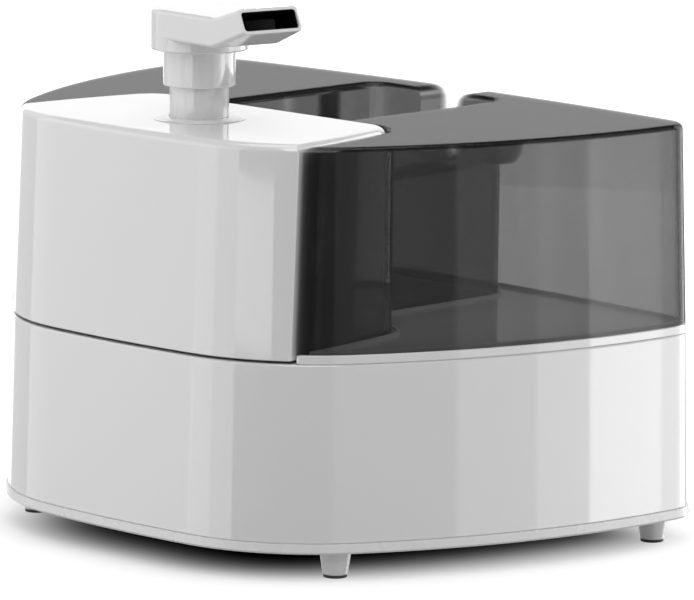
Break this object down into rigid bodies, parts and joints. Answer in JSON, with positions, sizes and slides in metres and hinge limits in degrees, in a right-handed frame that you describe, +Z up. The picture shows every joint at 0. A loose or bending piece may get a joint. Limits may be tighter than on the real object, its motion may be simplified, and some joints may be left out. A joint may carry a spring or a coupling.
{
  "type": "ultrasonic humidifier",
  "caption": "Table-top ultrasonic humidifier with a white drafted base, a smoked U-shaped water tank round a white tower, and a turning slanted mist nozzle.",
  "frame": {"origin": "middle of the footprint, on the surface the feet stand on", "axes": "+Z up, -Y towards the front face of the tower, +X across the width"},
  "size_m": [0.3, 0.2218, 0.2378],
  "materials": {
    "white_shell": "polished",
    "white_base": "satin",
    "smoke_tank": "polished, smoked transparent",
    "deck_white": "satin",
    "cap_grey": "satin",
    "valve_white": "moulded",
    "float_blue": "foamed",
    "black_plastic": "moulded",
    "knob_white": "satin",
    "rubber_grey": "matt",
    "silicone": "matt",
    "filter_foam": "open foam",
    "steel": "drawn",
    "motor_steel": "satin",
    "piezo": "glazed ceramic with silver electrode",
    "aluminium_fins": "extruded",
    "brass_pins": "bright",
    "circuit_board": "solder mask",
    "electronics": "moulded",
    "transformer_core": "varnished",
    "pot_metal": "plated",
    "lens_green": "clear",
    "wire_sleeve": "soft"
  },
  "bodies": {
    "base": {"base_shell": "white_shell", "base_ledge": "white_shell", "knob_bezel": "white_shell", "base_bottom_plate": "white_base", "feet": "white_base", "deck_lid": "deck_white", "deck_pool": "deck_white", "deck_tub": "deck_white", "deck_channel": "deck_white", "riser_collar": "deck_white", "splash_cap": "deck_white", "air_riser": "deck_white", "float_retainer": "deck_white", "fan_housing": "black_plastic", "power_inlet": "black_plastic", "level_sensor": "black_plastic", "foot_pads": "rubber_grey", "transducer_seal": "rubber_grey", "intake_filter": "filter_foam", "bottom_screws": "steel", "transducer_ring": "steel", "fan_motor": "motor_steel", "transducer_disc": "piezo", "heat_sink": "aluminium_fins", "inlet_pins": "brass_pins", "driver_board": "circuit_board", "power_board": "circuit_board", "driver_components": "electronics", "power_capacitors": "electronics", "transformer": "transformer_core", "potentiometer": "pot_metal", "indicator_lens": "lens_green", "wiring": "wire_sleeve"},
    "fan": {"fan_impeller": "black_plastic"},
    "float": {"level_float": "float_blue"},
    "knob": {"control_knob": "knob_white"},
    "tank": {"tank_top": "smoke_tank", "tank_outer_wall": "smoke_tank", "tank_tower_walls": "smoke_tank", "tank_grip_right": "smoke_tank", "tank_grip_left": "smoke_tank", "tank_bridge": "smoke_tank", "tank_floor": "white_shell", "tank_neck": "white_shell", "tank_seal": "silicone"},
    "cap": {"tank_cap": "cap_grey", "cap_gasket": "silicone", "valve_spring": "steel"},
    "valve": {"valve_plunger": "valve_white", "valve_seal": "silicone"},
    "tower": {"tower_cover": "white_shell", "tower_top": "white_shell", "nozzle_flange": "white_shell", "mist_duct": "deck_white"},
    "tube": {"nozzle_tube": "white_shell", "nozzle_snap_ring": "steel"},
    "head": {"nozzle_head": "white_shell", "nozzle_sleeve": "white_shell", "mouth_liner": "black_plastic"}
  },
  "joints": [
    {"name": "fan_spin", "type": "hinge", "parent": "base", "child": "fan", "pos_m": [-0.048, -0.052, 0.034], "axis": [0, 0, 1], "continuous": true},
    {"name": "float_travel", "type": "slide", "parent": "base", "child": "float", "axis": [0, 0, 1], "range_m": [0, 0.008]},
    {"name": "knob_turn", "type": "hinge", "parent": "base", "child": "knob", "pos_m": [0.06, 0.105, 0.054], "axis": [0, 1, 0], "range_deg": [0, 280]},
    {"name": "tank_lift", "type": "slide", "parent": "base", "child": "tank", "axis": [0, 0, 1], "range_m": [0, 0.12]},
    {"name": "cap_turn", "type": "hinge", "parent": "tank", "child": "cap", "pos_m": [-0.092, 0.035, 0.085], "axis": [0, 0, 1], "range_deg": [0, 90]},
    {"name": "valve_travel", "type": "slide", "parent": "cap", "child": "valve", "axis": [0, 0, 1], "range_m": [-0.006, 0], "deforming": ["valve_spring"]},
    {"name": "tower_lift", "type": "slide", "parent": "base", "child": "tower", "axis": [0, 0, 1], "range_m": [0, 0.1]},
    {"name": "nozzle_pull", "type": "slide", "parent": "tower", "child": "tube", "axis": [0, 0, 1], "range_m": [0, 0.04]},
    {"name": "nozzle_swivel", "type": "hinge", "parent": "tube", "child": "head", "pos_m": [0, -0.0605, 0.2], "axis": [0, 0, 1], "continuous": true}
  ],
  "couplings": [
    {"joint": "valve_travel", "follows": "tank_lift", "ratio": -0.05}
  ]
}
